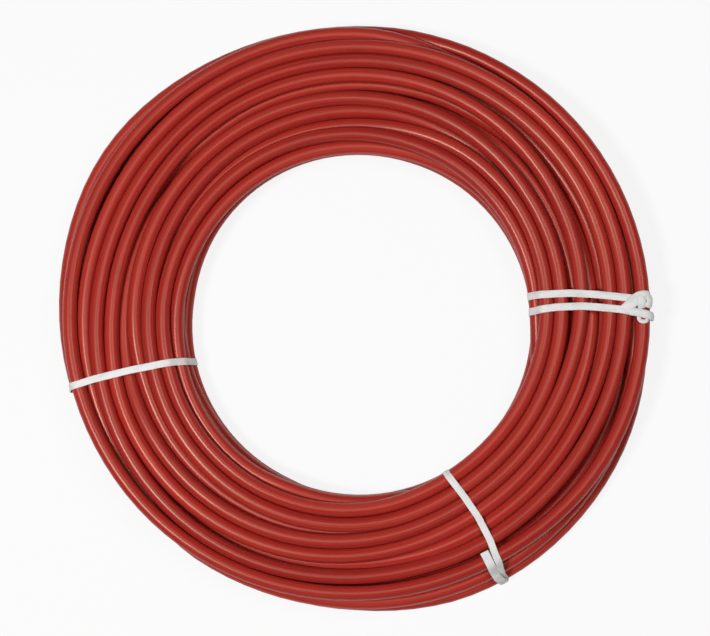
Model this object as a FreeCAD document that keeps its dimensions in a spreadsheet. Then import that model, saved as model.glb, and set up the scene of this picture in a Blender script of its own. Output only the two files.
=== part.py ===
"""A coil of plastic pipe lying flat, held by three strips of strapping.

The pipe is wound in lanes from the bore outwards and in layers from the floor up.
The wound pipe is one turned solid: its bore is plain, and its turns show as rounded
ridges on both ends and on the outside. Each strap is a flat strip that closes round
the section of the coil. One strap is wrapped twice and tied, and one has a folded tail.

Millimetres. +Z is up, the coil's axis is Z, and the floor is z = 0.
"""
import FreeCAD, Part
import math
import os

import Sketcher

SIZES = [
    # The pipe and how it is wound.
    ("pipe_od", 16.0, "outside diameter of the pipe"),
    ("bore_radius", 183.0, "free radius inside the innermost turns"),
    ("lanes", 9, "turns side by side, from the bore to the outside"),
    ("lane_gap", 1.0, "gap between two turns that lie side by side"),
    ("layers", 4, "layers of turns, from the floor up"),
    ("layer_rise", 13.9, "rise from one layer to the next, which nests in it"),
    ("groove_depth", 4.5, "depth of the groove between two turns on an end"),
    # The strips of strapping.
    ("strap_width", 9.0, "width of a strip"),
    ("strap_thick", 0.6, "thickness of a strip"),
    ("strap_clear", 0.15, "clearance between a strip and the turns under it"),
    ("left_strap_angle", 194.0, "where the left strap sits round the coil, in degrees"),
    ("lower_strap_angle", 300.0, "where the strap with the tail sits, in degrees"),
    ("right_strap_angle", 3.2, "where the twice-wrapped strap sits, in degrees"),
    ("wrap_spread", 3.9, "angle between the two wraps of the tied strap, in degrees"),
    # The knot of the tied strap and the tail of the lower one.
    ("knot_length", 34.0, "length of the knot along the radius"),
    ("knot_width", 38.0, "width of the knot across both wraps"),
    ("knot_height", 6.0, "height of the knot above the wraps"),
    ("knot_inset", 3.0, "distance from the outside of the coil in to the knot"),
    ("tail_length", 30.0, "straight part of the tail, over the end of the coil"),
    ("tail_drop", 20.0, "straight part of the tail, down the outside of the coil"),
    ("tail_width", 12.0, "width of the folded tail"),
    ("tail_lap", 3.0, "width of the tail that lies on its strap"),
]
SIZE = {name: number for name, number, _ in SIZES}

# Places worked out from the sizes, each as an expression that the sketches share.
PIPE_R = "Sizes.pipe_od / 2"
BASE_Z = "(Sizes.strap_thick + Sizes.strap_clear)"
LANE_PITCH = "(Sizes.pipe_od + Sizes.lane_gap)"
OUTER_R = f"(Sizes.bore_radius + Sizes.pipe_od + (Sizes.lanes - 1) * {LANE_PITCH})"
TOP_Z = f"({BASE_Z} + Sizes.pipe_od + (Sizes.layers - 1) * Sizes.layer_rise)"

pipe_r = SIZE["pipe_od"] / 2
base_z = SIZE["strap_thick"] + SIZE["strap_clear"]
lane_pitch = SIZE["pipe_od"] + SIZE["lane_gap"]
outer_r = SIZE["bore_radius"] + SIZE["pipe_od"] + (SIZE["lanes"] - 1) * lane_pitch
top_z = base_z + SIZE["pipe_od"] + (SIZE["layers"] - 1) * SIZE["layer_rise"]

ORIGIN = -1  # the sketch's own origin, as a constraint names it
START, END, CENTRE = 1, 2, 3  # the points of a line or an arc, as a constraint names them
UP = FreeCAD.Vector(0, 0, 1)
SKETCH_UP = FreeCAD.Vector(0, 1, 0)

doc = FreeCAD.newDocument("pipe_coil")
sheet = doc.addObject("Spreadsheet::Sheet", "Sizes")
for row, (name, number, meaning) in enumerate(SIZES, start=1):
    sheet.set(f"A{row}", name)
    sheet.set(f"B{row}", str(number))
    sheet.setAlias(f"B{row}", name)
    sheet.set(f"C{row}", meaning)
doc.recompute()


def new_body(label, angle_name=None):
    """A body at the coil's axis, turned about it by the sheet's angle if one is named."""
    body = doc.addObject("PartDesign::Body", label)
    body.Label = label
    angle = SIZE[angle_name] if angle_name else 0.0
    body.Placement = FreeCAD.Placement(FreeCAD.Vector(), FreeCAD.Rotation(UP, angle))
    if angle_name:
        body.setExpression("Placement.Rotation.Angle", f"Sizes.{angle_name}")
    return body


def section_sketch(body, name):
    """A sketch in the body's own radial plane: across is the radius, up is height."""
    sketch = body.newObject("Sketcher::SketchObject", name)
    plane = next(p for p in body.Origin.OriginFeatures if p.Role == "XZ_Plane")
    sketch.AttachmentSupport = [(plane, "")]
    sketch.MapMode = "FlatFace"
    return sketch


def bind(sketch, kind, places, number, expression):
    """Add a dimension and tie it to the sheet."""
    index = sketch.addConstraint(Sketcher.Constraint(kind, *places, number))
    sketch.renameConstraint(index, f"size_{index}")
    sketch.setExpression(f"Constraints.size_{index}", expression)


def add_line(sketch, start, end):
    """A line between two (radius, height) points."""
    return sketch.addGeometry(
        Part.LineSegment(FreeCAD.Vector(*start, 0), FreeCAD.Vector(*end, 0))
    )


def add_arc(sketch, centre, radius, first, last):
    """An arc that runs counter-clockwise between two angles in degrees."""
    circle = Part.Circle(FreeCAD.Vector(*centre, 0), FreeCAD.Vector(0, 0, 1), radius)
    return sketch.addGeometry(
        Part.ArcOfCircle(circle, math.radians(first), math.radians(last))
    )


def join(sketch, first, first_point, second, second_point):
    """Put an end of one edge on an end of another."""
    sketch.addConstraint(
        Sketcher.Constraint("Coincident", first, first_point, second, second_point)
    )


def add_turn(sketch, lane, layer, first, last):
    """The round of one turn that shows: its centre goes by its lane and its layer."""
    across = SIZE["bore_radius"] + pipe_r + lane * lane_pitch
    up = base_z + pipe_r + layer * SIZE["layer_rise"]
    turn = add_arc(sketch, (across, up), pipe_r, first, last)
    bind(sketch, "DistanceX", (ORIGIN, START, turn, CENTRE), across,
         f"Sizes.bore_radius + {PIPE_R} + {lane} * {LANE_PITCH}")
    bind(sketch, "DistanceY", (ORIGIN, START, turn, CENTRE), up,
         f"{BASE_Z} + {PIPE_R} + {layer} * Sizes.layer_rise")
    bind(sketch, "Radius", (turn,), pipe_r, PIPE_R)
    return turn


def add_end_face(sketch, layer, side):
    """One end of the coil: a row of ridges with flat-bottomed grooves between them.

    side is -1 for the end on the floor and +1 for the end on top. The turns are
    returned from the bore outwards.
    """
    lanes = int(SIZE["lanes"])
    depth = SIZE["groove_depth"]
    reach = math.degrees(math.acos((pipe_r - depth) / pipe_r))
    rise_reach = math.degrees(math.asin(SIZE["layer_rise"] / 2 / pipe_r))
    crest = 90 * side
    turns = []
    for lane in range(lanes):
        inward = 90 if lane == 0 else reach
        outward = 90 + rise_reach if lane == lanes - 1 else reach
        if side > 0:
            turns.append(add_turn(sketch, lane, layer, crest - outward, crest + inward))
        else:
            turns.append(add_turn(sketch, lane, layer, crest - inward, crest + outward))
    near, far = (START, END) if side > 0 else (END, START)
    height = top_z - depth if side > 0 else base_z + depth
    expression = f"{TOP_Z} - Sizes.groove_depth" if side > 0 else f"{BASE_Z} + Sizes.groove_depth"
    half = pipe_r * math.sin(math.radians(reach))
    for lane in range(lanes - 1):
        across = SIZE["bore_radius"] + pipe_r + lane * lane_pitch
        groove = add_line(sketch, (across + half, height), (across + lane_pitch - half, height))
        join(sketch, turns[lane], near, groove, START)
        join(sketch, turns[lane + 1], far, groove, END)
        sketch.addConstraint(Sketcher.Constraint("Horizontal", groove))
        bind(sketch, "DistanceY", (ORIGIN, START, groove, START), height, expression)
    return turns


def make_coil():
    """The wound pipe, turned about its axis from its section."""
    body = new_body("pipe_coil")
    sketch = section_sketch(body, "coil_section")
    lanes, layers = int(SIZE["lanes"]), int(SIZE["layers"])
    bottom = add_end_face(sketch, 0, -1)
    top = add_end_face(sketch, layers - 1, 1)
    rise_reach = math.degrees(math.asin(SIZE["layer_rise"] / 2 / pipe_r))
    below = bottom[-1]
    for layer in range(1, layers - 1):
        side = add_turn(sketch, lanes - 1, layer, -rise_reach, rise_reach)
        join(sketch, below, END, side, START)
        below = side
    join(sketch, below, END, top[-1], START)
    wall = add_line(
        sketch,
        (SIZE["bore_radius"], top_z - pipe_r),
        (SIZE["bore_radius"], base_z + pipe_r),
    )
    sketch.addConstraint(Sketcher.Constraint("Tangent", top[0], END, wall, START))
    sketch.addConstraint(Sketcher.Constraint("Tangent", wall, END, bottom[0], START))
    coil = body.newObject("PartDesign::Revolution", "coil")
    coil.Profile = sketch
    coil.ReferenceAxis = (sketch, ["V_Axis"])
    coil.Angle = 360
    return body


def add_loop(sketch, offset, offset_expression):
    """A closed outline round the coil's section, a set distance off its turns."""
    corner = pipe_r + offset
    left = SIZE["bore_radius"] - offset
    right = outer_r + offset
    low = base_z - offset
    high = top_z + offset
    sides = [
        (add_line(sketch, (left + corner, low), (right - corner, low)), "Horizontal"),
        (add_line(sketch, (right, low + corner), (right, high - corner)), "Vertical"),
        (add_line(sketch, (right - corner, high), (left + corner, high)), "Horizontal"),
        (add_line(sketch, (left, high - corner), (left, low + corner)), "Vertical"),
    ]
    corners = [
        add_arc(sketch, (right - corner, low + corner), corner, 270, 360),
        add_arc(sketch, (right - corner, high - corner), corner, 0, 90),
        add_arc(sketch, (left + corner, high - corner), corner, 90, 180),
        add_arc(sketch, (left + corner, low + corner), corner, 180, 270),
    ]
    for number, (side, direction) in enumerate(sides):
        following = sides[(number + 1) % len(sides)][0]
        arc = corners[number]
        sketch.addConstraint(Sketcher.Constraint(direction, side))
        sketch.addConstraint(Sketcher.Constraint("Tangent", side, END, arc, START))
        sketch.addConstraint(Sketcher.Constraint("Tangent", arc, END, following, START))
        bind(sketch, "Radius", (arc,), corner, f"{PIPE_R} + {offset_expression}")
    limits = [
        ("DistanceY", low, f"{BASE_Z} - ({offset_expression})"),
        ("DistanceX", right, f"{OUTER_R} + {offset_expression}"),
        ("DistanceY", high, f"{TOP_Z} + {offset_expression}"),
        ("DistanceX", left, f"Sizes.bore_radius - ({offset_expression})"),
    ]
    for (side, _), (kind, number, expression) in zip(sides, limits):
        bind(sketch, kind, (ORIGIN, START, side, START), number, expression)


def add_wrap(body, name, turn=0.0, turn_expression=None):
    """One closed wrap of strip round the section, turned about the coil's axis."""
    sketch = section_sketch(body, f"{name}_section")
    if turn_expression:
        rotation = FreeCAD.Rotation(SKETCH_UP, turn)
        sketch.AttachmentOffset = FreeCAD.Placement(FreeCAD.Vector(), rotation)
        sketch.setExpression("AttachmentOffset.Rotation.Angle", turn_expression)
    clear = SIZE["strap_clear"]
    add_loop(sketch, clear, "Sizes.strap_clear")
    add_loop(sketch, clear + SIZE["strap_thick"], "Sizes.strap_clear + Sizes.strap_thick")
    wrap = body.newObject("PartDesign::Pad", name)
    wrap.Profile = sketch
    wrap.SideType = "Symmetric"
    wrap.setExpression("Length", "Sizes.strap_width")
    return wrap


def make_left_strap():
    """A single closed strip."""
    body = new_body("strap_left", "left_strap_angle")
    add_wrap(body, "wrap")
    return body


def make_lower_strap():
    """A closed strip whose tail is folded over on it, at the outer edge on top."""
    body = new_body("strap_lower", "lower_strap_angle")
    add_wrap(body, "wrap")
    sketch = section_sketch(body, "tail_section")
    inner = pipe_r + SIZE["strap_clear"] + SIZE["strap_thick"]
    outer = inner + SIZE["strap_thick"]
    inner_expression = f"{PIPE_R} + Sizes.strap_clear + Sizes.strap_thick"
    outer_expression = f"{inner_expression} + Sizes.strap_thick"
    across, up = outer_r - pipe_r, top_z - pipe_r
    runs = []
    for radius, expression in ((inner, inner_expression), (outer, outer_expression)):
        over = add_line(sketch, (across - SIZE["tail_length"], up + radius), (across, up + radius))
        bend = add_arc(sketch, (across, up), radius, 0, 90)
        down = add_line(sketch, (across + radius, up), (across + radius, up - SIZE["tail_drop"]))
        bind(sketch, "DistanceX", (ORIGIN, START, bend, CENTRE), across, f"{OUTER_R} - {PIPE_R}")
        bind(sketch, "DistanceY", (ORIGIN, START, bend, CENTRE), up, f"{TOP_Z} - {PIPE_R}")
        bind(sketch, "Radius", (bend,), radius, expression)
        sketch.addConstraint(Sketcher.Constraint("Tangent", over, END, bend, END))
        sketch.addConstraint(Sketcher.Constraint("Tangent", down, START, bend, START))
        sketch.addConstraint(Sketcher.Constraint("Horizontal", over))
        sketch.addConstraint(Sketcher.Constraint("Vertical", down))
        bind(sketch, "DistanceX", (over, START, over, END), SIZE["tail_length"], "Sizes.tail_length")
        bind(sketch, "DistanceY", (down, END, down, START), SIZE["tail_drop"], "Sizes.tail_drop")
        runs.append((over, down))
    for point, number in ((START, 0), (END, 1)):
        near, far = runs[0][number], runs[1][number]
        places = [(across - SIZE["tail_length"], up + r) for r in (inner, outer)]
        if point == END:
            places = [(across + r, up - SIZE["tail_drop"]) for r in (inner, outer)]
        end = add_line(sketch, *places)
        join(sketch, near, point, end, START)
        join(sketch, far, point, end, END)
    tail = body.newObject("PartDesign::Pad", "tail")
    tail.Profile = sketch
    tail.SideType = "Two sides"
    tail.setExpression("Length", "Sizes.strap_width / 2 + Sizes.tail_width - Sizes.tail_lap")
    tail.setExpression("Length2", "Sizes.tail_lap - Sizes.strap_width / 2")
    return body


def make_right_strap():
    """A strip wrapped twice round the section and tied over the outer edge."""
    body = new_body("strap_right", "right_strap_angle")
    sketch = section_sketch(body, "knot_section")
    length, height = SIZE["knot_length"], SIZE["knot_height"]
    radius = (length * length / 4 + height * height) / (2 * height)
    far = outer_r - SIZE["knot_inset"]
    floor = top_z + SIZE["strap_clear"]
    floor_expression = f"{TOP_Z} + Sizes.strap_clear"
    half_angle = math.degrees(math.asin(length / 2 / radius))
    centre = (far - length / 2, floor + height - radius)
    back = add_arc(sketch, centre, radius, 90 - half_angle, 90 + half_angle)
    seat = add_line(sketch, (far - length, floor), (far, floor))
    join(sketch, back, END, seat, START)
    join(sketch, back, START, seat, END)
    sketch.addConstraint(Sketcher.Constraint("Horizontal", seat))
    bind(sketch, "DistanceX", (ORIGIN, START, seat, END), far, f"{OUTER_R} - Sizes.knot_inset")
    bind(sketch, "DistanceY", (ORIGIN, START, seat, START), floor, floor_expression)
    bind(sketch, "DistanceX", (seat, START, seat, END), length, "Sizes.knot_length")
    bind(sketch, "Radius", (back,), radius,
         "(Sizes.knot_length ^ 2 / 4 + Sizes.knot_height ^ 2) / (2 * Sizes.knot_height)")
    knot = body.newObject("PartDesign::Pad", "knot")
    knot.Profile = sketch
    knot.SideType = "Symmetric"
    knot.setExpression("Length", "Sizes.knot_width")
    half_spread = SIZE["wrap_spread"] / 2
    add_wrap(body, "upper_wrap", half_spread, "Sizes.wrap_spread / 2")
    add_wrap(body, "lower_wrap", -half_spread, "-Sizes.wrap_spread / 2")
    return body


def check_document(bodies):
    """Stop before anything is written if an object or a shape is bad."""
    for thing in doc.Objects:
        if "Invalid" in thing.State or "Error" in thing.State:
            raise RuntimeError(f"{thing.Name} failed: {thing.State}")
        if thing.TypeId == "Sketcher::SketchObject" and thing.solve() != 0:
            raise RuntimeError(f"{thing.Name} does not solve")
    for body in bodies:
        if body.Shape.isNull() or not body.Shape.isValid():
            raise RuntimeError(f"{body.Label} has no valid shape")
        if len(body.Shape.Solids) != 1:
            raise RuntimeError(f"{body.Label} has {len(body.Shape.Solids)} solids")


bodies = [make_coil(), make_left_strap(), make_lower_strap(), make_right_strap()]
doc.recompute()
check_document(bodies)
os.makedirs("parts", exist_ok=True)
for body in bodies:
    body.Shape.exportStep(f"parts/{body.Label}.step")
    box = body.Shape.BoundBox
    print(body.Label, "volume", round(body.Shape.Volume), "box",
          [round(v, 2) for v in (box.XMin, box.YMin, box.ZMin, box.XMax, box.YMax, box.ZMax)])
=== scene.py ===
"""A coil of red plastic pipe held by three white straps, in the frame of its CAD model.

Sizes are in millimetres and angles in degrees until a mesh is made. Angles run
counter-clockwise from +X, seen from above. Every mesh is in metres.
"""
import logging
import math
from collections.abc import Mapping, Sequence
from dataclasses import dataclass
from enum import Enum

import bmesh
import bpy
import numpy as np
from mathutils import Matrix, Vector


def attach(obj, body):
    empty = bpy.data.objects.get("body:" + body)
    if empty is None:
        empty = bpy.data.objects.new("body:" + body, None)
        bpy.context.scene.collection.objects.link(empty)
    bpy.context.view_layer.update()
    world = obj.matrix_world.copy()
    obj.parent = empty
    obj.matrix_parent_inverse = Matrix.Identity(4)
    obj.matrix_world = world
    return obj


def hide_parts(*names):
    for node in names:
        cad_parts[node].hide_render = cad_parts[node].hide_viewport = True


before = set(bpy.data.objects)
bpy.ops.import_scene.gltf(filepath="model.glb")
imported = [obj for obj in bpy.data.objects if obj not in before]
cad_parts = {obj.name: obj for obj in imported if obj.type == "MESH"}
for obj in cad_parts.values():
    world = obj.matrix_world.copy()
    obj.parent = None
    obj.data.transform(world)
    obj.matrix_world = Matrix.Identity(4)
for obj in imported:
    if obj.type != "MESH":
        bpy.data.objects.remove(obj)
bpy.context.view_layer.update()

MM = 0.001
BODY = "root"
SET_ANGLE = 30.0  # between two set radii of the spiral
GIRTH_STEP = 0.5  # between two points of a tight line round the coil
DISC_POINTS = 72  # points on each turn when a tight line is found
WHITE = (1.0, 1.0, 1.0, 1.0)
log = logging.getLogger("pipe_coil")


class Slot(Enum):
    """The record's material slots."""

    PIPE = "pipe"
    STRAP = "strap"


# ---------------------------------------------------------------- node trees


class Wire:
    """One socket of a node tree, on which Python's operators add Math nodes."""

    def __init__(self, bench: "Bench", socket: bpy.types.NodeSocket) -> None:
        """Keeps the socket and the bench that it belongs to."""
        self.bench = bench
        self.socket = socket

    def _sum(self, operation: str, left: "Value", right: "Value") -> "Wire":
        """Adds a Math node and returns its result."""
        made = self.bench.node("ShaderNodeMath", {"operation": operation}, {0: left, 1: right})
        return made["Value"]

    def __add__(self, other: "Value") -> "Wire":
        """self + other."""
        return self._sum("ADD", self, other)

    def __radd__(self, other: "Value") -> "Wire":
        """other + self."""
        return self._sum("ADD", other, self)

    def __sub__(self, other: "Value") -> "Wire":
        """self - other."""
        return self._sum("SUBTRACT", self, other)

    def __rsub__(self, other: "Value") -> "Wire":
        """other - self."""
        return self._sum("SUBTRACT", other, self)

    def __mul__(self, other: "Value") -> "Wire":
        """self * other."""
        return self._sum("MULTIPLY", self, other)

    def __rmul__(self, other: "Value") -> "Wire":
        """other * self."""
        return self._sum("MULTIPLY", other, self)

    def most(self, other: "Value") -> "Wire":
        """The larger of self and other."""
        return self._sum("MAXIMUM", self, other)


Value = Wire | float | int | bool | str | Sequence[float] | bpy.types.ID


class Made:
    """A node just made, whose outputs are read by name or number."""

    def __init__(self, bench: "Bench", node: bpy.types.Node) -> None:
        """Keeps the node and its bench."""
        self.bench = bench
        self.bare = node

    def __getitem__(self, key: str | int) -> Wire:
        """The output with that identifier, name or number."""
        return Wire(self.bench, find_socket(self.bare.outputs, key))


def find_socket(sockets: Sequence[bpy.types.NodeSocket], key: str | int) -> bpy.types.NodeSocket:
    """Finds a socket.

    Args:
        sockets: A node's inputs or outputs.
        key: Its identifier, its name, or its number.

    Returns:
        The socket, an enabled one where a name is shared.
    """
    if isinstance(key, int):
        return sockets[key]
    for match in ("identifier", "name"):
        for socket in sockets:
            if getattr(socket, match) == key and socket.enabled:
                return socket
    raise KeyError(f"no socket {key!r} among {[s.identifier for s in sockets]}")


class Bench:
    """A node tree that is being put together."""

    def __init__(self, tree: bpy.types.NodeTree) -> None:
        """Takes an empty tree."""
        self.tree = tree

    def node(
        self,
        kind: str,
        settings: Mapping[str, object] | None = None,
        values: Mapping[str | int, Value] | None = None,
    ) -> Made:
        """Adds one node.

        Args:
            kind: The node's type.
            settings: Its own settings, set first. The key "stops" fills a colour ramp.
            values: Numbers or wires for its inputs.

        Returns:
            The node, whose outputs can be read.
        """
        bare = self.tree.nodes.new(kind)
        for key, value in (settings or {}).items():
            if key == "stops":
                self._fill_ramp(bare.color_ramp, value)
            else:
                setattr(bare, key, value)
        for key, value in (values or {}).items():
            socket = find_socket(bare.inputs, key)
            if isinstance(value, Wire):
                self.tree.links.new(value.socket, socket)
            else:
                socket.default_value = value
        return Made(self, bare)

    @staticmethod
    def _fill_ramp(ramp: bpy.types.ColorRamp, stops: Sequence[tuple[float, float]]) -> None:
        """Gives a ramp its stops, each a place and a grey level."""
        while len(ramp.elements) < len(stops):
            ramp.elements.new(1.0)
        for element, (place, level) in zip(ramp.elements, stops):
            element.position = place
            element.color = (level, level, level, 1.0)

    def noise(self, place: Wire, scale: float, detail: float = 2.0, rough: float = 0.5) -> Wire:
        """A noise pattern from 0 to 1 at a place."""
        values = {"Vector": place, "Scale": scale, "Detail": detail, "Roughness": rough}
        return self.node("ShaderNodeTexNoise", {"noise_dimensions": "3D"}, values)["Fac"]

    def stretch(self, place: Wire, scale: Sequence[float]) -> Wire:
        """A place with its axes scaled."""
        values = {0: place, 1: tuple(scale)}
        return self.node("ShaderNodeVectorMath", {"operation": "MULTIPLY"}, values)["Vector"]

    def ramp(self, factor: Wire, *stops: tuple[float, float]) -> Wire:
        """A level from 0 to 1 that follows the stops."""
        return self.node("ShaderNodeValToRGB", {"stops": stops}, {"Fac": factor})["Color"]

    def blend(self, factor: Value, first: Value, second: Value, how: str = "MIX") -> Wire:
        """One colour mixed with another."""
        settings = {"data_type": "RGBA", "blend_type": how, "clamp_factor": True}
        values = {"Factor_Float": factor, "A_Color": first, "B_Color": second}
        return self.node("ShaderNodeMix", settings, values)["Result_Color"]

    def bump(self, height: Wire, distance: float, strength: float) -> Wire:
        """A normal raised by a height from 0 to 1, over a distance in metres."""
        values = {"Height": height, "Distance": distance, "Strength": strength}
        return self.node("ShaderNodeBump", None, values)["Normal"]


def linear(red: int, green: int, blue: int) -> tuple[float, float, float, float]:
    """A display colour from 0 to 255 as the linear colour that nodes take."""

    def one(level: int) -> float:
        """One channel."""
        part = level / 255.0
        return part / 12.92 if part <= 0.04045 else ((part + 0.055) / 1.055) ** 2.4

    return (one(red), one(green), one(blue), 1.0)


def new_material(name: str) -> tuple[bpy.types.Material, Bench]:
    """An empty node material and its bench."""
    material = bpy.data.materials.new(name)
    material.use_nodes = True
    material.node_tree.nodes.clear()
    return material, Bench(material.node_tree)


# ------------------------------------------------------------------ finishes


@dataclass(frozen=True)
class PipeFinish:
    """Satin red plastic, drawn lengthwise and a little scuffed."""

    body: tuple[int, int, int] = (184, 48, 40)
    deep: tuple[int, int, int] = (160, 36, 32)
    chalk: tuple[int, int, int] = (196, 86, 68)
    soot: tuple[int, int, int] = (74, 30, 26)
    sheen: tuple[int, int, int] = (255, 226, 204)
    roughness: float = 0.26
    drawn_scale: tuple[float, float, float] = (2.2, 620.0, 620.0)
    slow_scale: tuple[float, float, float] = (2.6, 34.0, 34.0)
    cloudy_scale: tuple[float, float, float] = (26.0, 90.0, 90.0)
    rubbed_scale: tuple[float, float, float] = (34.0, 520.0, 520.0)
    grain_scale: float = 1900.0
    relief: float = 0.0002
    relief_strength: float = 0.16
    place: str = "pipe_run"

    def material(self) -> bpy.types.Material:
        """Makes the material, which follows the pipe by its own attribute."""
        material, bench = new_material("pipe_plastic")
        settings = {"attribute_type": "GEOMETRY", "attribute_name": self.place}
        run = bench.node("ShaderNodeAttribute", settings)["Vector"]
        drawn = bench.noise(bench.stretch(run, self.drawn_scale), 1.0, 3.0, 0.6)
        slow = bench.noise(bench.stretch(run, self.slow_scale), 1.0, 2.0, 0.5)
        cloudy = bench.noise(bench.stretch(run, self.cloudy_scale), 1.0, 4.0, 0.6)
        rubbed = bench.noise(bench.stretch(run, self.rubbed_scale), 1.0, 5.0, 0.65)
        grain = bench.noise(run, self.grain_scale, 2.0, 0.6)
        scuff = bench.ramp(rubbed, (0.60, 0.0), (0.74, 1.0))
        scuff = scuff * bench.ramp(cloudy, (0.42, 0.0), (0.66, 1.0))
        chalk = linear(*self.chalk)
        tone = bench.ramp(slow, (0.3, 0.0), (0.7, 1.0))
        colour = bench.blend(tone, linear(*self.deep), linear(*self.body))
        colour = bench.blend(bench.ramp(drawn, (0.42, 0.0), (0.76, 0.45)), colour, chalk)
        dark = bench.ramp(cloudy, (0.55, 0.0), (0.85, 0.22))
        colour = bench.blend(dark, colour, linear(*self.soot))
        colour = bench.blend(scuff * 0.45, colour, chalk)
        rough = self.roughness + 0.10 * cloudy + 0.08 * drawn + 0.12 * scuff - 0.06
        height = drawn * 0.5 + grain * 0.25 + rubbed * 0.25
        values = {
            "Base Color": colour,
            "Roughness": rough,
            "IOR": 1.5,
            "Specular IOR Level": 0.4,
            "Specular Tint": linear(*self.sheen),
            "Normal": bench.bump(height, self.relief, self.relief_strength),
        }
        shader = bench.node("ShaderNodeBsdfPrincipled", None, values)["BSDF"]
        bench.node("ShaderNodeOutputMaterial", None, {"Surface": shader})
        return material


@dataclass(frozen=True)
class StrapFinish:
    """White strapping tape, faintly ribbed, with greyer worn patches and dusty marks."""

    body: tuple[int, int, int] = (238, 237, 235)
    shade: tuple[int, int, int] = (206, 207, 207)
    rust: tuple[int, int, int] = (196, 150, 140)
    roughness: float = 0.46
    rib_scale: tuple[float, float, float] = (18.0, 2600.0, 900.0)
    patch_scale: tuple[float, float, float] = (70.0, 160.0, 160.0)
    speck_scale: tuple[float, float, float] = (260.0, 520.0, 520.0)
    relief: float = 0.00022
    relief_strength: float = 0.4
    place: str = "strap_run"

    def material(self) -> bpy.types.Material:
        """Makes the material, which follows the tape by its own attribute."""
        material, bench = new_material("strap_plastic")
        settings = {"attribute_type": "GEOMETRY", "attribute_name": self.place}
        run = bench.node("ShaderNodeAttribute", settings)["Vector"]
        ribs = bench.noise(bench.stretch(run, self.rib_scale), 1.0, 2.0, 0.5)
        patches = bench.noise(bench.stretch(run, self.patch_scale), 1.0, 4.0, 0.6)
        specks = bench.noise(bench.stretch(run, self.speck_scale), 1.0, 5.0, 0.7)
        shade = linear(*self.shade)
        worn = bench.ramp(patches, (0.46, 0.0), (0.78, 0.8))
        colour = bench.blend(worn, linear(*self.body), shade)
        colour = bench.blend(bench.ramp(ribs, (0.5, 0.0), (0.9, 0.4)), colour, shade)
        dirt = bench.ramp(specks, (0.58, 0.0), (0.72, 1.0))
        dirt = dirt * bench.ramp(patches, (0.5, 0.0), (0.7, 1.0))
        colour = bench.blend(dirt * 0.5, colour, linear(*self.rust))
        height = ribs * 0.6 + specks * 0.4
        values = {
            "Base Color": colour,
            "Roughness": self.roughness + 0.14 * patches - 0.07 * ribs,
            "Specular IOR Level": 0.45,
            "Normal": bench.bump(height, self.relief, self.relief_strength),
        }
        shader = bench.node("ShaderNodeBsdfPrincipled", None, values)["BSDF"]
        bench.node("ShaderNodeOutputMaterial", None, {"Surface": shader})
        return material


# --------------------------------------------------------------- the winding


@dataclass(frozen=True)
class Passage:
    """A stretch of the top spiral that runs under its neighbours, by angle wound."""

    start: float
    end: float
    height: float = 0.0


@dataclass(frozen=True)
class Give:
    """How a kind of turn moves as the coil settles.

    The pull is towards its set radius, and the drift is upwards.
    """

    pull: float
    drift: float


ON_TOP = Give(0.25, 0.15)
IN_PASSAGE = Give(0.08, -0.5)
HIDDEN = Give(0.02, -0.3)


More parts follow.
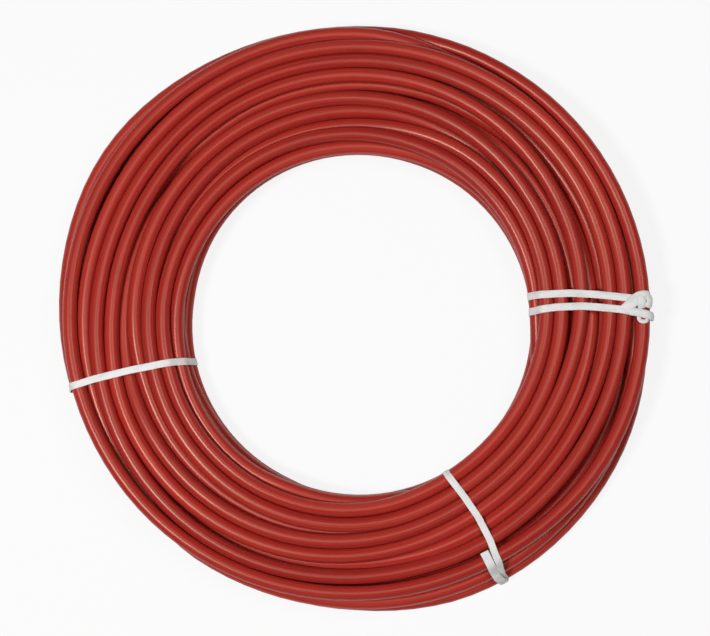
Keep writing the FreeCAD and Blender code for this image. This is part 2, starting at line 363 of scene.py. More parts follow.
@dataclass
class Winding:
    """The pipe's route through the coil.

    Two hidden layers fill the lower half: one wound outwards and one wound back in. A spiral
    lies over them. It has 13 rows of set radii, and the pipe ends part of the way through the
    last. Then the turns in each slice of the coil push apart and sink. They come to lie
    close on and beside each other, and a few still press together by up to 2 mm.
    """

    pipe: float = 16.0
    ground: float = 1.05
    bore: float = 183.0
    crown: float = 52.0
    crown_fall: float = 1.5
    first_layer: int = 8
    second_layer: int = 7
    slices: int = 96
    rounds: int = 600
    pushes: int = 6
    easings: int = 2
    inner_room: float = 2.0
    second_rise: float = 14.0
    spiral_base: float = 24.0
    spiral_rise: float = 26.0
    crown_middle: float = 259.0
    crown_reach: float = 68.0
    sunk_room: float = 7.5
    sunk_lean: float = 5.5
    lean_azimuth: float = 135.0
    top_weight: float = 10.0
    stiffness: float = 0.35
    firmness: float = 0.7
    turns: tuple[tuple[float, ...], ...] = (
        (212, 205, 196, 191, 191, 194, 199, 203, 205, 206, 204, 203),
        (200, 201, 204, 204, 207, 210, 213, 214, 214, 209, 205, 204),
        (210, 216, 217, 216, 220, 222, 222, 223, 224, 224, 226, 226),
        (223, 225, 229, 231, 231, 229, 229, 230, 229, 225, 220, 220),
        (223, 230, 240, 244, 246, 246, 244, 244, 240, 233, 230, 231),
        (237, 246, 252, 255, 257, 257, 257, 258, 253, 244, 234, 235),
        (246, 257, 267, 270, 270, 267, 269, 274, 269, 257, 249, 250),
        (257, 263, 263, 262, 264, 263, 260, 259, 257, 257, 257, 259),
        (266, 273, 275, 278, 281, 281, 280, 280, 277, 267, 264, 266),
        (277, 284, 287, 287, 287, 284, 286, 291, 289, 281, 279, 284),
        (293, 300, 301, 301, 302, 300, 302, 303, 304, 306, 309, 312),
        (316, 315, 315, 319, 319, 320, 317, 311, 305, 299, 300, 310),
        (313, 316, 319, 322, 327, 335, 326, 317, 309, 312, 318, 318),
    )
    rim: tuple[float, ...] = (321, 325, 329, 333, 338, 342, 334, 326, 318, 323, 335, 331)
    passages: tuple[Passage, ...] = (
        Passage(-10, 40),
        Passage(242, 348),
        Passage(822, 1142),
        Passage(1672, 1812),
        Passage(1812, 1878, 0.5),
        Passage(1878, 1950),
        Passage(2515, 3145),
        Passage(3800, 4040),
        Passage(4385, 4700),
    )
    end_cut: float = 166.3

    @property
    def count(self) -> int:
        """How many turns the whole coil has."""
        return self.first_layer + self.second_layer + len(self.turns)

    @property
    def wound(self) -> float:
        """How many turns are left once the outside end is cut."""
        return self.count - self.end_cut / 360

    def spiral_radius(self, wound: np.ndarray) -> np.ndarray:
        """The radius of the top spiral at each angle wound, smooth through the set radii."""
        radii = np.array(self.turns, float).ravel()
        last = len(radii) - 1
        at = np.clip((wound / SET_ANGLE).astype(int), 0, last - 1)
        t = wound / SET_ANGLE - at
        before, here = radii[np.clip(at - 1, 0, last)], radii[at]
        after, beyond = radii[at + 1], radii[np.clip(at + 2, 0, last)]
        bend = 2 * before - 5 * here + 4 * after - beyond
        turn = 3 * here - before - 3 * after + beyond
        return 0.5 * (2 * here + (after - before) * t + bend * t**2 + turn * t**3)

    def spiral_height(self, wound: np.ndarray) -> np.ndarray:
        """How high the spiral lies, from 1 on top to 0 in a passage, at each angle wound."""
        level = np.ones(len(wound))
        for passage in self.passages:
            level[(wound > passage.start) & (wound < passage.end)] = passage.height
        reach = 3
        ease = np.hanning(2 * reach + 1)
        return np.convolve(np.pad(level, reach, "edge"), ease / ease.sum(), "valid")

    @staticmethod
    def lane(turned: np.ndarray) -> np.ndarray:
        """Turns a steady spiral into one that keeps its lane and then steps to the next."""
        step_start, step_span, stepped = 0.2, 0.6, 0.5
        whole = np.floor(turned)
        part = np.clip((turned - whole - step_start) / step_span, 0.0, 1.0)
        return whole + stepped * part * part * (3 - 2 * part) + (1 - stepped) * (turned - whole)

    def route(self) -> np.ndarray:
        """Winds the pipe.

        Returns:
            Its centre's points in millimetres, from the inside end to the outside end.
        """
        radius, height = self._relaxed()
        whole = np.arange(len(radius)) / self.slices
        shortest = 0.2 / self.slices
        turned = np.append(whole[whole < self.wound - shortest], self.wound)
        radius, height = np.interp(turned, whole, radius), np.interp(turned, whole, height)
        angle = 2 * math.pi * turned
        return np.column_stack((radius * np.cos(angle), radius * np.sin(angle), height))

    def _relaxed(self) -> tuple[np.ndarray, np.ndarray]:
        """The settled radius and height at each point of the route."""
        half = self.pipe / 2
        turned = np.arange(self.count * self.slices) / self.slices
        back = self.first_layer + self.second_layer
        first, top = turned < self.first_layer, turned >= back
        second = ~first & ~top
        azimuth = (np.arange(len(turned)) % self.slices) * 360.0 / self.slices
        set_at = np.arange(len(self.rim) + 1) * SET_ANGLE
        rim = np.interp(azimuth, set_at, (*self.rim, self.rim[0]))
        near, far = self.bore + half + self.inner_room, rim - half
        wanted = np.zeros(len(turned))
        outward = self.lane(turned[first]) / self.first_layer
        wanted[first] = near + (far[first] - near) * outward
        inward = self.lane(turned[second] - self.first_layer) / self.second_layer
        wanted[second] = far[second] - (far[second] - near) * inward
        wound = (turned[top] - back) * 360.0
        wanted[top] = self.spiral_radius(wound)
        level = np.full(len(turned), -1.0)
        level[top] = self.spiral_height(wound)
        radius = wanted.copy()
        height = np.where(first, half, half + self.second_rise) + self.ground
        height[top] = self.ground + half + self.spiral_base + self.spiral_rise * level[top]
        seen, sunk = level > 0.5, (level >= 0) & (level <= 0.5)
        pull = np.where(seen, ON_TOP.pull, np.where(sunk, IN_PASSAGE.pull, HIDDEN.pull))
        drift = np.where(seen, ON_TOP.drift, np.where(sunk, IN_PASSAGE.drift, HIDDEN.drift))
        most = far.reshape(self.count, -1)
        lean = self.sunk_lean * np.cos(np.radians(azimuth - self.lean_azimuth))
        inmost = self.bore + half
        least = np.where(level < 0.5, inmost + self.sunk_room - lean, inmost)
        least = least.reshape(self.count, -1)
        share = 1.0 / np.where(seen, self.top_weight, 1.0).reshape(self.count, -1)
        there = (turned < self.wound).reshape(self.count, -1)
        calm, still = 0.6, 0.85
        for step in range(self.rounds):
            done = step / self.rounds
            force = 1.0 if done < calm else (0.4 if done < still else 0.05)
            height = height + force * drift
            radius = radius + pull * (1.0 if done < still else 0.5) * (wanted - radius)
            for _ in range(self.easings):
                for line in (radius, height):
                    line[1:-1] += self.stiffness * (0.5 * (line[:-2] + line[2:]) - line[1:-1])
            across = radius.reshape(self.count, -1)
            up = height.reshape(self.count, -1)
            for _ in range(self.pushes):
                self._push_apart(across, up, share, there)
                np.clip(across, least, most, out=across)
                fall = ((across - self.crown_middle) / self.crown_reach) ** 2
                ceiling = self.crown - self.crown_fall * fall
                np.clip(up, self.ground + half, ceiling, out=up)
        return radius, height

    def _push_apart(
        self, across: np.ndarray, up: np.ndarray, share: np.ndarray, there: np.ndarray
    ) -> None:
        """Moves turns that overlap in a slice away from each other, in place.

        Args:
            across: The turns' radii, a row for each turn and a column for each slice.
            up: Their heights.
            share: How readily each gives way.
            there: Where the pipe has not ended yet.
        """
        one, two = np.triu_indices(self.count, 1)
        gap_across, gap_up = across[one] - across[two], up[one] - up[two]
        gap = np.hypot(gap_across, gap_up) + 1e-6
        over = np.clip(self.pipe - gap, 0.0, None) / gap * (there[one] & there[two])
        weight = share[one] + share[two]
        for place, apart in ((across, gap_across), (up, gap_up)):
            push = np.zeros_like(place)
            np.add.at(push, one, apart * over * share[one] / weight)
            np.add.at(push, two, -apart * over * share[two] / weight)
            place += self.firmness * push

    def discs(self, route: np.ndarray, azimuth: float, spread: float) -> np.ndarray:
        """The turns that a strap crosses.

        Args:
            route: The pipe's points.
            azimuth: Where the strap is.
            spread: How far each side of it counts.

        Returns:
            The radius and height of each turn there, in every slice that counts.
        """
        looks, past_end = 5, 1.5
        angle = np.degrees(np.unwrap(np.arctan2(route[:, 1], route[:, 0])))
        found = []
        for offset in np.linspace(-spread, spread, looks):
            wanted = np.arange((azimuth + offset) % 360.0, angle[-1] + past_end, 360.0)
            radius = np.interp(wanted, angle, np.hypot(route[:, 0], route[:, 1]))
            found.append(np.column_stack((radius, np.interp(wanted, angle, route[:, 2]))))
        return np.vstack(found)


# ------------------------------------------------------------------ the pipe


@dataclass
class PipeRun:
    """The whole length of pipe, one hollow tube from end to end."""

    winding: Winding
    finish: PipeFinish
    wall: float = 2.0
    open_depth: int = 5
    sides: int = 20

    def tree(self, material: bpy.types.Material) -> bpy.types.GeometryNodeTree:
        """The node group that sweeps the pipe along its route.

        Args:
            material: The pipe's plastic.

        Returns:
            A tree whose inputs are the pipe's radius and its number of sides.
        """
        tree = bpy.data.node_groups.new("pipe_sweep", "GeometryNodeTree")
        face = tree.interface
        face.new_socket("Geometry", in_out="INPUT", socket_type="NodeSocketGeometry")
        face.new_socket("Pipe radius", in_out="INPUT", socket_type="NodeSocketFloat")
        face.new_socket("Sides", in_out="INPUT", socket_type="NodeSocketInt")
        face.new_socket("Geometry", in_out="OUTPUT", socket_type="NodeSocketGeometry")
        bench = Bench(tree)
        start = bench.node("NodeGroupInput")
        upright = bench.node(
            "GeometryNodeSetCurveNormal", {"mode": "Z_UP"}, {"Curve": start["Geometry"]}
        )
        along = bench.node("GeometryNodeSplineParameter")["Length"]
        settings = {"domain": "POINT"}
        route = bench.node(
            "GeometryNodeCaptureAttribute", settings, {"Geometry": upright["Curve"]}
        )
        route.bare.capture_items.new("FLOAT", "Along")
        tree.links.new(along.socket, route.bare.inputs["Along"])
        ring = bench.node(
            "GeometryNodeCurvePrimitiveCircle",
            {"mode": "RADIUS"},
            {"Resolution": start["Sides"], "Radius": start["Pipe radius"]},
        )
        around = bench.node("GeometryNodeInputPosition")["Position"]
        rim = bench.node("GeometryNodeCaptureAttribute", settings, {"Geometry": ring["Curve"]})
        rim.bare.capture_items.new("VECTOR", "Around")
        tree.links.new(around.socket, rim.bare.inputs["Around"])
        swept = bench.node(
            "GeometryNodeCurveToMesh",
            None,
            {"Curve": route["Geometry"], "Profile Curve": rim["Geometry"], "Fill Caps": False},
        )
        parts = bench.node("ShaderNodeSeparateXYZ", None, {0: rim["Around"]})
        place = bench.node(
            "ShaderNodeCombineXYZ", None, {"X": route["Along"], "Y": parts["X"], "Z": parts["Y"]}
        )
        stored = bench.node(
            "GeometryNodeStoreNamedAttribute",
            {"data_type": "FLOAT_VECTOR", "domain": "POINT"},
            {"Geometry": swept["Mesh"], "Name": self.finish.place, "Value": place["Vector"]},
        )
        smooth = bench.node("GeometryNodeSetShadeSmooth", None, {"Geometry": stored["Geometry"]})
        real = bench.node("GeometryNodeRealizeInstances", None, {"Geometry": smooth["Geometry"]})
        dressed = bench.node(
            "GeometryNodeSetMaterial", None, {"Geometry": real["Geometry"], "Material": material}
        )
        bench.node("NodeGroupOutput", None, {"Geometry": dressed["Geometry"]})
        return tree

    def build(self, route: np.ndarray) -> bpy.types.Object:
        """Makes the pipe along its route.

        Args:
            route: The pipe's points in millimetres.

        Returns:
            The finished piece.
        """
        material = self.finish.material()
        curve = bpy.data.curves.new("pipe_route", "CURVE")
        curve.dimensions = "3D"
        spline = curve.splines.new("POLY")
        spline.points.add(len(route) - 1)
        spline.points.foreach_set("co", np.column_stack((route * MM, np.ones(len(route)))).ravel())
        line = bpy.data.objects.new("pipe_route", curve)
        bpy.context.scene.collection.objects.link(line)
        sweep = line.modifiers.new("sweep", "NODES")
        sweep.node_group = self.tree(material)
        sizes = {"Pipe radius": self.winding.pipe / 2 * MM, "Sides": self.sides}
        for item in sweep.node_group.interface.items_tree:
            if item.in_out == "INPUT" and item.name in sizes:
                sweep[item.identifier] = sizes[item.name]
        mesh = bpy.data.meshes.new_from_object(
            line.evaluated_get(bpy.context.evaluated_depsgraph_get()),
            preserve_all_data_layers=True,
            depsgraph=bpy.context.evaluated_depsgraph_get(),
        )
        bpy.data.objects.remove(line)
        self._open_ends(mesh, len(route))
        mesh.name = "pipe"
        pipe = bpy.data.objects.new("pipe", mesh)
        bpy.context.scene.collection.objects.link(pipe)
        return pipe

    def _open_ends(self, mesh: bpy.types.Mesh, rings: int) -> None:
        """Gives each end its wall and the start of its bore, closed further in.

        Args:
            mesh: The swept tube, its vertices in rings along the route.
            rings: How many rings it has.
        """
        work = bmesh.new()
        work.from_mesh(mesh)
        swept = list(work.verts)
        place = work.verts.layers.float_vector.get(self.finish.place)
        inner = 1.0 - 2 * self.wall / self.winding.pipe
        for first, way in ((0, 1), (rings - 1, -1)):
            last = swept[first * self.sides : (first + 1) * self.sides]
            for deep in range(self.open_depth):
                base = (first + way * deep) * self.sides
                old = swept[base : base + self.sides]
                centre = sum((v.co for v in old), Vector()) / self.sides
                made = []
                for vert in old:
                    new = work.verts.new(centre + (vert.co - centre) * inner)
                    new[place] = vert[place]
                    made.append(new)
                for k in range(self.sides):
                    after = (k + 1) % self.sides
                    work.faces.new((last[k], last[after], made[after], made[k]))
                last = made
            work.faces.new(last)
        for face in work.faces:
            face.smooth = True
        bmesh.ops.recalc_face_normals(work, faces=work.faces)
        work.to_mesh(mesh)
        work.free()
        mesh.validate()


# ---------------------------------------------------------------- the straps


def hull_outline(discs: np.ndarray, radius: float, step: float) -> np.ndarray:
    """The line of a tight band round some discs.

    Args:
        discs: Their centres.
        radius: Their radius.
        step: How far apart the points of the line are.

    Returns:
        The closed line's points, counter-clockwise, evenly spaced.
    """
    angle = np.linspace(0, 2 * math.pi, DISC_POINTS + 1)[:-1]
    rim = radius * np.column_stack((np.cos(angle), np.sin(angle)))
    points = sorted(map(tuple, (discs[:, None, :] + rim[None]).reshape(-1, 2)))

    def chain(run: Sequence[tuple[float, float]]) -> list[tuple[float, float]]:
        """One side of the hull."""
        kept: list[tuple[float, float]] = []
        for p in run:
            while len(kept) > 1:
                (ax, ay), (bx, by) = kept[-2], kept[-1]
                if (bx - ax) * (p[1] - ay) - (by - ay) * (p[0] - ax) > 0:
                    break
                kept.pop()
            kept.append(p)
        return kept

    hull = np.array(chain(points)[:-1] + chain(points[::-1])[:-1])
    closed = np.vstack((hull, hull[:1]))
    lengths = np.hypot(*np.diff(closed, axis=0).T)
    at = np.concatenate(([0.0], np.cumsum(lengths)))
    even = np.linspace(0, at[-1], int(at[-1] / step) + 1)[:-1]
    return np.column_stack([np.interp(even, at, closed[:, k]) for k in range(2)])


@dataclass
class Girth:
    """The tight line round the coil's section at one azimuth.

    A place on it is given by how far along it lies from the outer crest, outwards and then
    down, how far aside of the azimuth it lies, and how far it stands off the pipe.
    """

    azimuth: float
    line: np.ndarray

    @classmethod
    def around(
        cls, winding: Winding, route: np.ndarray, azimuth: float, spread: float, crest: float
    ) -> "Girth":
        """The girth at an azimuth.

        Args:
            winding: The coil's winding.
            route: The pipe's points.
            azimuth: Where the strap is.
            spread: How far each side of it counts.
            crest: The radius from which places are measured.

        Returns:
            The girth, which starts at the crest on top of the coil.
        """
        room = 0.05
        discs = winding.discs(route, azimuth, spread)
        outline = hull_outline(discs, winding.pipe / 2 + room, GIRTH_STEP)[::-1]
        on_top = outline[:, 1] > outline[:, 1].mean()
        start = int(np.argmin(np.where(on_top, abs(outline[:, 0] - crest), math.inf)))
        return cls(azimuth, np.roll(outline, -start, 0))

    @property
    def length(self) -> float:
        """How long the whole line is."""
        return GIRTH_STEP * len(self.line)

    def place(self, spots: np.ndarray) -> tuple[np.ndarray, np.ndarray]:
        """Finds points near the girth.

        Args:
            spots: For each point, how far along, how far aside and how far off it is.

        Returns:
            The points in millimetres, and the direction away from the pipe at each.
        """
        count, reach = len(self.line), 4
        ahead = np.roll(self.line, -reach, 0) - np.roll(self.line, reach, 0)
        off = np.column_stack((-ahead[:, 1], ahead[:, 0]))
        off /= np.linalg.norm(off, axis=1)[:, None]
        at = (spots[:, 0] / GIRTH_STEP) % count
        low = at.astype(int) % count
        part = (at - np.floor(at))[:, None]
        here = (1 - part) * self.line[low] + part * self.line[(low + 1) % count]
        away = (1 - part) * off[low] + part * off[(low + 1) % count]
        here = here + away * spots[:, 2:3]
        angle = math.radians(self.azimuth) + spots[:, 1] / here[:, 0]
        cos, sin = np.cos(angle), np.sin(angle)
        points = np.column_stack((here[:, 0] * cos, here[:, 0] * sin, here[:, 1]))
        return points, np.column_stack((away[:, 0] * cos, away[:, 0] * sin, away[:, 1]))


@dataclass(frozen=True)
class Run:
    """One run of tape.

    Each stop is a lap of the girth, how far along it, how far aside and how far off the
    pipe. A closed run comes back to its first stop.
    """

    stops: tuple[tuple[int, float, float, float], ...]
    width: float = 8.0
    crown: float = 0.15
    closed: bool = False
    ease: float = 10.0
    step: float = 2.0

    def spots(self, girth: Girth) -> np.ndarray:
        """The run's places on the girth, evenly spaced and smoothed."""
        stops = np.array(self.stops, float)
        rows = np.column_stack((stops[:, 1] + stops[:, 0] * girth.length, stops[:, 2:]))
        if self.closed:
            goes_round = np.ptp(rows[:, 0]) > girth.length / 4
            shift = np.array((girth.length if goes_round else 0.0, 0.0, 0.0))
            rows = np.vstack((rows, rows[:1] + shift))
        gone = np.concatenate(([0.0], np.cumsum(np.linalg.norm(np.diff(rows, axis=0), axis=1))))
        even = np.linspace(0.0, gone[-1], int(gone[-1] / self.step) + 1)
        spots = np.column_stack([np.interp(even, gone, rows[:, k]) for k in range(3)])
        reach = max(1, int(self.ease / self.step / 2))
        window = np.hanning(2 * reach + 3)[1:-1]
        window /= window.sum()
        drift = (spots[-1] - spots[0]) if self.closed else np.zeros(3)
        if self.closed:
            before, after = spots[-reach - 1 : -1] - drift, spots[1 : reach + 1] + drift
        else:
            before, after = np.repeat(spots[:1], reach, 0), np.repeat(spots[-1:], reach, 0)
        padded = np.vstack((before, spots, after))
        smooth = np.column_stack([np.convolve(padded[:, k], window, "valid") for k in range(3)])
        return smooth[:-1] if self.closed else smooth


@dataclass
class StrapBand:
    """One white tape pulled tight round the coil's section, with what is tied in it."""

    name: str
    node: str
    azimuth: float
    crest: float
    runs: tuple[Run, ...]
    thick: float = 0.6
    spread: float = 2.0

    def build(
        self, winding: Winding, route: np.ndarray, material: bpy.types.Material
    ) -> bpy.types.Object:
        """Makes the strap's runs as one piece.

        Args:
            winding: The coil's winding.
            route: The pipe's points.
            material: The tape's plastic.

        Returns:
            The finished piece.
        """
        girth = Girth.around(winding, route, self.azimuth, self.spread, self.crest)
        tape = TapeMesh(StrapFinish.place, self.thick)
        for run in self.runs:
            spots = run.spots(girth)
            spots[:, 2] += self.thick / 2
            points, out = girth.place(spots)
            tape.sweep(points, out, run)
        return tape.piece(self.name, material)


class TapeMesh:
    """Collects runs of flat tape into one mesh."""

    edge_ease = 0.45  # of the tape's thickness
    section_stops = (0.36, 0.72)  # of half its width
    run_apart = 50.0  # between two runs in the pattern that the finish follows

    def __init__(self, place: str, thick: float) -> None:
        """Starts an empty mesh with the attribute that the finish follows."""
        self.work = bmesh.new()
        self.place = self.work.verts.layers.float_vector.new(place)
        self.thick = thick
        self.used = 0.0

    def section(self, width: float, crown: float) -> list[tuple[float, float]]:
        """The tape's cut section, across and up, with eased edges and a raised middle."""
        half, deep, ease = width / 2, self.thick / 2, self.thick * self.edge_ease
        near, far = (half * stop for stop in self.section_stops)
        across = [-half + ease, -far, -near, 0.0, near, far, half - ease]
        upper = [(x, deep) for x in across] + [(half, deep - ease)]
        lower = [(x, -deep) for x in reversed(across)] + [(-half, ease - deep)]
        whole = upper + [(half, ease - deep)] + lower + [(-half, deep - ease)]
        return [(x, y + crown * (1 - (x / half) ** 2)) for x, y in whole]

    def sweep(self, points: np.ndarray, out: np.ndarray, run: Run) -> None:
        """Sweeps one run of tape.

        Args:
            points: Its middle line in millimetres.
            out: The direction its upper face looks at each point.
            run: The run, which says how wide the tape is and whether it closes.
        """
        if run.closed:
            ahead = np.roll(points, -1, 0) - np.roll(points, 1, 0)
        else:
            ahead = np.gradient(points, axis=0)
        ahead /= np.linalg.norm(ahead, axis=1)[:, None]
        out = out - (out * ahead).sum(1)[:, None] * ahead
        out /= np.linalg.norm(out, axis=1)[:, None]
        across = np.cross(ahead, out)
        section = self.section(run.width, run.crown)
        steps = np.linalg.norm(np.diff(points, axis=0), axis=1)
        gone = self.used + np.concatenate(([0.0], np.cumsum(steps)))
        self.used = gone[-1] + self.run_apart
        rings = []
        for k, point in enumerate(points):
            ring = []
            for x, y in section:
                vert = self.work.verts.new((point + across[k] * x + out[k] * y) * MM)
                vert[self.place] = Vector((gone[k], x, y)) * MM
                ring.append(vert)
            rings.append(ring)
        count = len(section)
        pairs = list(zip(rings, rings[1:])) + ([(rings[-1], rings[0])] if run.closed else [])
        for one, two in pairs:
            for k in range(count):
                after = (k + 1) % count
                self.work.faces.new((one[k], one[after], two[after], two[k]))
        if not run.closed:
            self.work.faces.new(rings[0])
            self.work.faces.new(rings[-1])

    def piece(self, name: str, material: bpy.types.Material) -> bpy.types.Object:
        """Closes the mesh and makes its object."""
        bmesh.ops.recalc_face_normals(self.work, faces=self.work.faces)
        for face in self.work.faces:
            face.smooth = len(face.verts) == 4
        mesh = bpy.data.meshes.new(name)
        self.work.to_mesh(mesh)
        self.work.free()
        mesh.materials.append(material)
        made = bpy.data.objects.new(name, mesh)
        bpy.context.scene.collection.objects.link(made)
        return made


LEFT_STRAP = (
    Run(
        (
            (0, -150, 2.9, 0.0),
            (0, -128, 2.4, 0.0),
            (0, -112, 0.6, 0.0),
            (0, -98, -0.4, 0.0),
            (0, -85, -0.8, 0.0),
            (0, -61, -1.9, 0.0),
            (0, -20, -1.8, 0.0),
            (0, 0, -0.4, 0.0),
            (0, 14, 0.0, 0.2),
        ),
        closed=True,
    ),
)

LOWER_STRAP = (
    Run(
        (
            (0, -125, 0.8, 0.0),
            (0, -104, 1.9, 0.0),
            (0, -76, 5.6, 0.0),
            (0, -49, 7.6, 0.0),
            (0, -21, 6.2, 0.0),
            (0, -6, 3.4, 0.2),
            (0, 8, 1.8, 0.9),
            (0, 20, 0.0, 1.4),
            (0, 32, -1.4, 2.2),
            (0, 46, -1.2, 1.0),
            (0, 62, -1.0, 0.0),
            (0, 90, -0.6, 0.0),
        ),
        width=7.6,
        closed=True,
    ),
    Run(
        (
            (0, -15, -5.6, 0.4),
            (0, -4, -6.2, 0.5),
            (0, 8, -7.0, 0.8),
            (0, 20, -7.4, 1.6),
            (0, 30, -7.2, 4.4),
            (0, 38, -5.8, 5.6),
            (0, 48, -4.6, 3.4),
            (0, 60, -3.6, 1.0),
        ),
        width=9.6,
        crown=0.5,
    ),
)

TIED_STRAP = (
    Run(
        (
            (-1, 16, 18.0, 0.4),
            (-1, 60, 14.0, 0.0),
            (-1, 120, 18.0, 0.0),
            (0, -140, 22.6, 0.0),
            (0, -124, 23.6, 0.0),
            (0, -81, 25.4, 0.0),
            (0, -54, 23.7, 0.0),
            (0, -18, 19.8, 0.1),
            (0, -6, 17.4, 0.6),
            (0, 3, 16.0, 0.9),
            (0, 12, 15.2, 1.0),
            (0, 26, 13.5, 0.6),
            (0, 60, 10.0, 0.0),
            (0, 120, 8.0, 0.0),
            (1, -140, 6.0, 0.0),
            (1, -124, 6.8, 0.0),
            (1, -98, 10.2, 0.0),
            (1, -70, 11.2, 0.0),
            (1, -52, 9.9, 0.1),
            (1, -27, 7.2, 0.8),
            (1, -12, 4.2, 1.0),
            (1, 0, 1.4, 1.4),
            (1, 10, -0.6, 1.6),
            (1, 24, 0.6, 0.8),
        ),
        width=8.2,
    ),
    Run(
        (
            (0, -26, 6.4, 0.4),
            (0, -22.4, 8.6, 1.4),
            (0, -17.6, 14.0, 2.4),
            (0, -13, 18.0, 2.6),
            (0, -8.4, 20.8, 2.6),
            (0, -3, 21.8, 2.2),
            (0, 2, 20.6, 1.6),
        ),
        width=12.4,
        crown=1.1,
        ease=6.0,
        step=1.2,
    ),
    Run(
        (
            (0, -4.0, 23.4, 1.0),
            (0, -5.6, 20.6, 3.4),
            (0, -6.8, 15.8, 3.6),
            (0, -6.4, 11.6, 2.8),
            (0, -5.2, 8.6, 0.6),
        ),
        width=9.8,
        crown=0.9,
        ease=4.0,
        step=1.0,
    ),
    Run(
        (
            (0, -1.8, 24.0, 0.8),
            (0, 0.2, 21.4, 2.8),
            (0, 1.0, 17.2, 3.6),
            (0, 0.2, 12.8, 3.2),
            (0, -0.8, 9.2, 0.8),
        ),
        width=7.6,
        crown=1.0,
        ease=4.0,
        step=1.0,
    ),
    Run(
        (
            (0, -20, 5.6, 0.8),
            (0, -12, 4.4, 1.8),
            (0, -4, 2.4, 2.4),
            (0, 2, 0.6, 2.4),
            (0, 6, -0.6, 1.8),
            (0, 11, -1.0, 0.8),
        ),
        width=9.0,
        crown=1.2,
        ease=5.0,
        step=1.2,
    ),
    Run(
        (
            (0, -10.0, -1.8, 0.3),
            (0, -8.6, -4.6, 0.4),
            (0, -5.4, -6.0, 0.6),
            (0, -1.6, -5.2, 0.5),
            (0, 0.2, -2.2, 0.3),
            (0, -1.6, 0.8, 0.3),
            (0, -5.2, 1.8, 0.3),
            (0, -8.6, 0.8, 0.3),
        ),
        width=4.4,
        crown=0.6,
        closed=True,
        ease=3.0,
        step=0.8,
    ),
)


# ---------------------------------------------------------------- the studio


@dataclass(frozen=True)
class Lamp:
    """A soft lamp that looks at the coil's middle. Sizes are in metres, power in watts."""

    name: str
    place: tuple[float, float, float]
    size: tuple[float, float]
    power: float

    def hang(self) -> None:
        """Puts the lamp up."""
        data = bpy.data.lights.new(self.name, "AREA")
        data.shape = "RECTANGLE"
        data.size, data.size_y = self.size
        data.energy = self.power
        lamp = bpy.data.objects.new(self.name, data)
        lamp.location = Vector(self.place)
        lamp.rotation_euler = (-Vector(self.place)).to_track_quat("-Z", "Y").to_euler()
        bpy.context.scene.collection.objects.link(lamp)


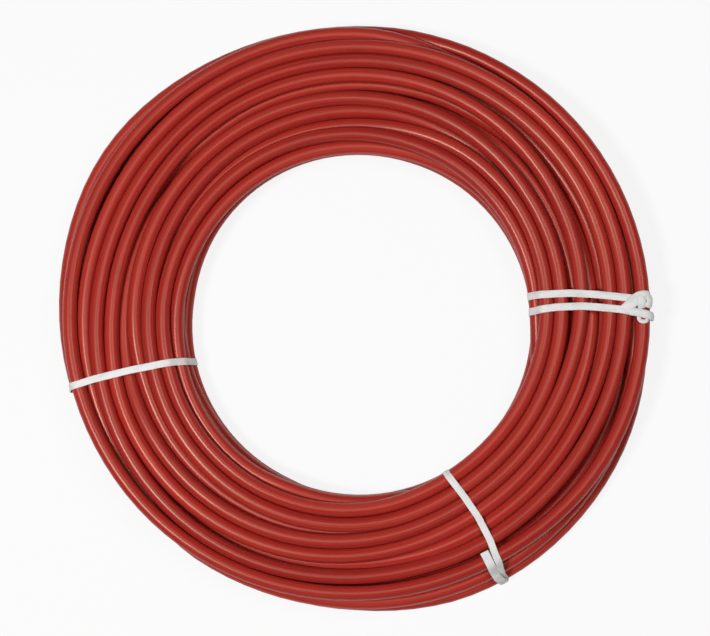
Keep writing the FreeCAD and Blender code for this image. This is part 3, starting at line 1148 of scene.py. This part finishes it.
@dataclass
class Studio:
    """A white floor, three soft lamps over the coil, and the camera above it."""

    camera_far: float = 1.6
    camera_tilt: float = 5.0
    camera_azimuth: float = -50.0
    frame_width: float = 0.781
    top_height: float = 0.047
    sensor: float = 36.0
    lamps: tuple[Lamp, ...] = (
        Lamp("lamp_left", (-0.885, -0.41, 2.19), (0.4, 0.4), 32.0),
        Lamp("lamp_right", (0.95, 0.35, 2.15), (0.85, 0.85), 12.0),
        Lamp("lamp_top", (0.0, 0.1, 2.4), (1.3, 1.3), 8.0),
    )
    floor_half: float = 30.0
    floor_paint: tuple[float, float, float, float] = (0.86, 0.86, 0.86, 1.0)
    seen_white: float = 0.85
    mirrored_white: float = 0.4
    sky: float = 0.05

    def camera(self) -> None:
        """The camera, looking almost straight down with +Y up."""
        data = bpy.data.cameras.new("camera")
        data.sensor_width = self.sensor
        data.lens = self.sensor * self.camera_far / self.frame_width
        tilt, azimuth = math.radians(self.camera_tilt), math.radians(self.camera_azimuth)
        level = math.sin(tilt)
        back = Vector((level * math.cos(azimuth), level * math.sin(azimuth), math.cos(tilt)))
        right = Vector((0.0, 1.0, 0.0)).cross(back).normalized()
        turned = Matrix((right, back.cross(right), back)).transposed().to_4x4()
        turned.translation = Vector((0.0, 0.0, self.top_height)) + back * self.camera_far
        camera = bpy.data.objects.new("camera", data)
        camera.matrix_world = turned
        bpy.context.scene.collection.objects.link(camera)
        bpy.context.scene.camera = camera

    def floor(self) -> None:
        """The pale floor, which keeps the coil's shadow and shows white."""
        material, bench = new_material("floor_white")
        light = bench.node("ShaderNodeLightPath")
        either = light["Is Glossy Ray"].most(light["Is Transmission Ray"])
        mirrored = either * self.mirrored_white
        straight = (light["Is Camera Ray"] * self.seen_white).most(mirrored)
        paint = bench.node("ShaderNodeBsdfDiffuse", None, {"Color": self.floor_paint})["BSDF"]
        glow = {"Color": WHITE, "Strength": 1.0}
        white = bench.node("ShaderNodeEmission", None, glow)["Emission"]
        values = {0: straight, 1: paint, 2: white}
        mixed = bench.node("ShaderNodeMixShader", None, values)["Shader"]
        bench.node("ShaderNodeOutputMaterial", None, {"Surface": mixed})
        mesh = bpy.data.meshes.new("floor")
        far = self.floor_half
        corners = [(-far, -far, 0), (far, -far, 0), (far, far, 0), (-far, far, 0)]
        mesh.from_pydata(corners, [], [(0, 1, 2, 3)])
        mesh.materials.append(material)
        floor = bpy.data.objects.new("floor", mesh)
        bpy.context.scene.collection.objects.link(floor)

    def world(self) -> None:
        """Plain light from all round."""
        world = bpy.data.worlds.new("studio")
        world.use_nodes = True
        world.node_tree.nodes.clear()
        bench = Bench(world.node_tree)
        values = {"Color": WHITE, "Strength": self.sky}
        sky = bench.node("ShaderNodeBackground", None, values)["Background"]
        bench.node("ShaderNodeOutputWorld", None, {"Surface": sky})
        bpy.context.scene.world = world

    def build(self) -> None:
        """Sets up the whole studio."""
        self.camera()
        for lamp in self.lamps:
            lamp.hang()
        self.floor()
        self.world()
        bpy.context.scene.view_settings.view_transform = "Standard"


# ---------------------------------------------------------------- the object


@dataclass
class PipeCoil:
    """The coil of pipe with its three straps."""

    winding: Winding
    pipe: PipeRun
    straps: tuple[StrapBand, ...]

    @classmethod
    def plain(cls) -> "PipeCoil":
        """The coil at its own sizes."""
        winding = Winding()
        straps = (
            StrapBand("strap_tape_left", "strap_left", 193.5, 315.0, LEFT_STRAP),
            StrapBand("strap_tape_lower", "strap_lower", 300.0, 303.0, LOWER_STRAP),
            StrapBand("strap_tape_right", "strap_right", 0.0, 317.0, TIED_STRAP, spread=6.0),
        )
        return cls(winding, PipeRun(winding, PipeFinish()), straps)

    def build(self) -> None:
        """Makes every piece, dresses it and puts it on its body."""
        route = self.winding.route()
        length = np.linalg.norm(np.diff(route, axis=0), axis=1).sum()
        log.info("route: %.1f turns, %.1f m", self.winding.wound, length * MM)
        pipe = self.pipe.build(route)
        self.settle(pipe, "pipe_coil", Slot.PIPE)
        tape = StrapFinish().material()
        for strap in self.straps:
            self.settle(strap.build(self.winding, route, tape), strap.node, Slot.STRAP)

    @staticmethod
    def settle(piece: bpy.types.Object, node: str, slot: Slot) -> None:
        """Puts a piece in place of its CAD node and reports it."""
        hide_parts(node)
        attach(piece, BODY)
        low, high = piece.bound_box[0], piece.bound_box[6]
        size = " x ".join(f"{(b - a) / MM:.1f}" for a, b in zip(low, high))
        piece.data.calc_loop_triangles()
        log.info("%s: %s mm, %d triangles", piece.name, size, len(piece.data.loop_triangles))


def main() -> None:
    """Builds the coil and its studio."""
    logging.basicConfig(level=logging.INFO, format="%(message)s")
    PipeCoil.plain().build()
    Studio().build()


if __name__ == "__main__":
    main()
